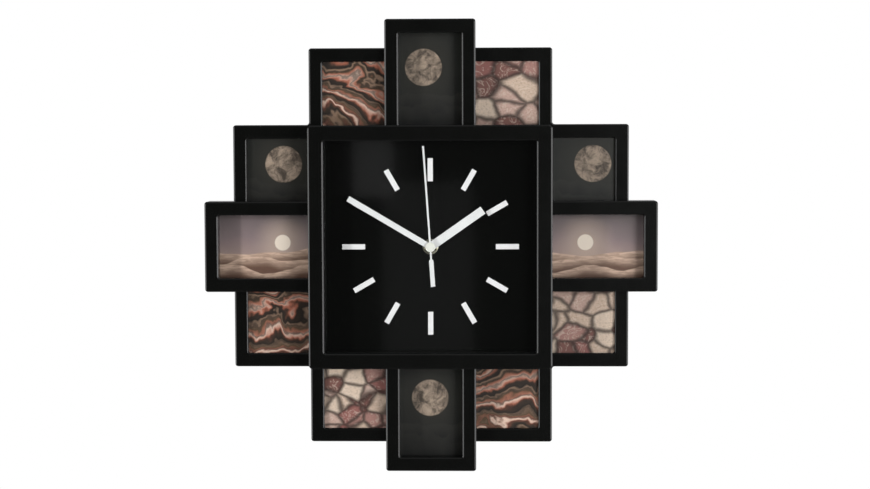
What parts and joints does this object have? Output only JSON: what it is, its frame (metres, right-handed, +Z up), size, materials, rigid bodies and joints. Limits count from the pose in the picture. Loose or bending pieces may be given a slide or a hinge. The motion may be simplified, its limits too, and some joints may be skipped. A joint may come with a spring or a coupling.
{
  "type": "photo frame clock",
  "caption": "Square black wall clock with white baton markers and hands, ringed by small stepped picture frames with push-in backs; keyhole hanger and quartz movement behind.",
  "frame": {"origin": "on the wall plane, on the axis of the hands", "axes": "+Z up, +X to the viewer's right, -Y out of the wall towards the viewer"},
  "size_m": [0.4, 0.035, 0.4],
  "materials": {
    "black_moulding": "satin black, fine moulded texture",
    "back_moulding": "plain black moulded plastic",
    "clear_sheet": "clear polished sheet",
    "dial_black": "gloss black",
    "marker_white": "white, slight gloss",
    "hand_white": "white enamel",
    "screw_steel": "zinc plated",
    "nut_brass": "turned brass",
    "gasket_rubber": "soft black",
    "movement_black": "black moulded plastic",
    "gear_ivory": "ivory moulded plastic",
    "battery_can": "plain metallic sleeve",
    "contact_steel": "nickel plated",
    "board_resin": "brown resin board",
    "coil_copper": "enamelled copper wire",
    "print_night": "dark photo print",
    "print_dusk": "taupe photo print",
    "print_copper": "copper and black photo print",
    "print_rose": "rose and cream photo print"
  },
  "bodies": {
    "case": {"photo_surround": "black_moulding", "clock_bezel": "black_moulding", "clock_lens": "clear_sheet", "back_case": "back_moulding", "dial": "dial_black", "hour_markers": "marker_white", "case_screws": "screw_steel", "movement_case": "movement_black", "movement_cover": "movement_black", "rubber_gasket": "gasket_rubber", "mounting_washer": "nut_brass", "mounting_nut": "nut_brass", "battery_contacts": "contact_steel", "circuit_board": "board_resin", "drive_coil": "coil_copper", "stator": "contact_steel", "square_photo_covers": "clear_sheet", "oblong_photo_covers": "clear_sheet", "print_top_left": "print_copper", "print_top": "print_night", "print_top_right": "print_rose", "print_right_upper": "print_night", "print_right": "print_dusk", "print_right_lower": "print_rose", "print_bottom_right": "print_copper", "print_bottom": "print_night", "print_bottom_left": "print_rose", "print_left_lower": "print_copper", "print_left": "print_dusk", "print_left_upper": "print_night"},
    "second": {"second_hand": "hand_white", "seconds_wheel": "gear_ivory"},
    "intermediate": {"intermediate_wheel": "gear_ivory"},
    "rotor": {"rotor": "gear_ivory"},
    "third": {"third_wheel": "gear_ivory"},
    "centre": {"centre_wheel": "gear_ivory"},
    "minute": {"minute_hand": "hand_white", "minute_pipe": "gear_ivory"},
    "hour": {"hour_hand": "hand_white", "hour_wheel": "gear_ivory"},
    "setting": {"minute_wheel": "gear_ivory", "setting_knob": "movement_black"},
    "battery": {"battery": "battery_can"},
    "back_top_left": {"photo_back_top_left": "back_moulding"},
    "back_top": {"photo_back_top": "back_moulding"},
    "back_top_right": {"photo_back_top_right": "back_moulding"},
    "back_right_upper": {"photo_back_right_upper": "back_moulding"},
    "back_right": {"photo_back_right": "back_moulding"},
    "back_right_lower": {"photo_back_right_lower": "back_moulding"},
    "back_bottom_right": {"photo_back_bottom_right": "back_moulding"},
    "back_bottom": {"photo_back_bottom": "back_moulding"},
    "back_bottom_left": {"photo_back_bottom_left": "back_moulding"},
    "back_left_lower": {"photo_back_left_lower": "back_moulding"},
    "back_left": {"photo_back_left": "back_moulding"},
    "back_left_upper": {"photo_back_left_upper": "back_moulding"}
  },
  "joints": [
    {"name": "second_turn", "type": "hinge", "parent": "case", "child": "second", "pos_m": [0, 0, 0], "axis": [0, 1, 0], "continuous": true},
    {"name": "intermediate_turn", "type": "hinge", "parent": "case", "child": "intermediate", "pos_m": [-0.0072, 0, 0], "axis": [0, 1, 0], "continuous": true},
    {"name": "rotor_turn", "type": "hinge", "parent": "case", "child": "rotor", "pos_m": [-0.01121, 0, 0.00401], "axis": [0, 1, 0], "continuous": true},
    {"name": "third_turn", "type": "hinge", "parent": "case", "child": "third", "pos_m": [0.00729, 0, 0], "axis": [0, 1, 0], "continuous": true},
    {"name": "centre_turn", "type": "hinge", "parent": "case", "child": "centre", "pos_m": [0, 0, 0], "axis": [0, 1, 0], "continuous": true},
    {"name": "minute_turn", "type": "hinge", "parent": "case", "child": "minute", "pos_m": [0, 0, 0], "axis": [0, 1, 0], "continuous": true},
    {"name": "hour_turn", "type": "hinge", "parent": "case", "child": "hour", "pos_m": [0, 0, 0], "axis": [0, 1, 0], "continuous": true},
    {"name": "setting_turn", "type": "hinge", "parent": "case", "child": "setting", "pos_m": [0, 0, 0.00736], "axis": [0, 1, 0], "continuous": true},
    {"name": "battery_lift", "type": "slide", "parent": "case", "child": "battery", "axis": [0, 1, 0], "range_m": [0, 0.025]},
    {"name": "back_top_left_pull", "type": "slide", "parent": "case", "child": "back_top_left", "axis": [0, 1, 0], "range_m": [0, 0.03]},
    {"name": "back_top_pull", "type": "slide", "parent": "case", "child": "back_top", "axis": [0, 1, 0], "range_m": [0, 0.03]},
    {"name": "back_top_right_pull", "type": "slide", "parent": "case", "child": "back_top_right", "axis": [0, 1, 0], "range_m": [0, 0.03]},
    {"name": "back_right_upper_pull", "type": "slide", "parent": "case", "child": "back_right_upper", "axis": [0, 1, 0], "range_m": [0, 0.03]},
    {"name": "back_right_pull", "type": "slide", "parent": "case", "child": "back_right", "axis": [0, 1, 0], "range_m": [0, 0.03]},
    {"name": "back_right_lower_pull", "type": "slide", "parent": "case", "child": "back_right_lower", "axis": [0, 1, 0], "range_m": [0, 0.03]},
    {"name": "back_bottom_right_pull", "type": "slide", "parent": "case", "child": "back_bottom_right", "axis": [0, 1, 0], "range_m": [0, 0.03]},
    {"name": "back_bottom_pull", "type": "slide", "parent": "case", "child": "back_bottom", "axis": [0, 1, 0], "range_m": [0, 0.03]},
    {"name": "back_bottom_left_pull", "type": "slide", "parent": "case", "child": "back_bottom_left", "axis": [0, 1, 0], "range_m": [0, 0.03]},
    {"name": "back_left_lower_pull", "type": "slide", "parent": "case", "child": "back_left_lower", "axis": [0, 1, 0], "range_m": [0, 0.03]},
    {"name": "back_left_pull", "type": "slide", "parent": "case", "child": "back_left", "axis": [0, 1, 0], "range_m": [0, 0.03]},
    {"name": "back_left_upper_pull", "type": "slide", "parent": "case", "child": "back_left_upper", "axis": [0, 1, 0], "range_m": [0, 0.03]}
  ],
  "couplings": [
    {"joint": "intermediate_turn", "follows": "second_turn", "ratio": -5},
    {"joint": "rotor_turn", "follows": "second_turn", "ratio": 30},
    {"joint": "third_turn", "follows": "second_turn", "ratio": -0.125},
    {"joint": "centre_turn", "follows": "second_turn", "ratio": 0.016667},
    {"joint": "hour_turn", "follows": "minute_turn", "ratio": 0.083333},
    {"joint": "setting_turn", "follows": "minute_turn", "ratio": -0.33333}
  ]
}
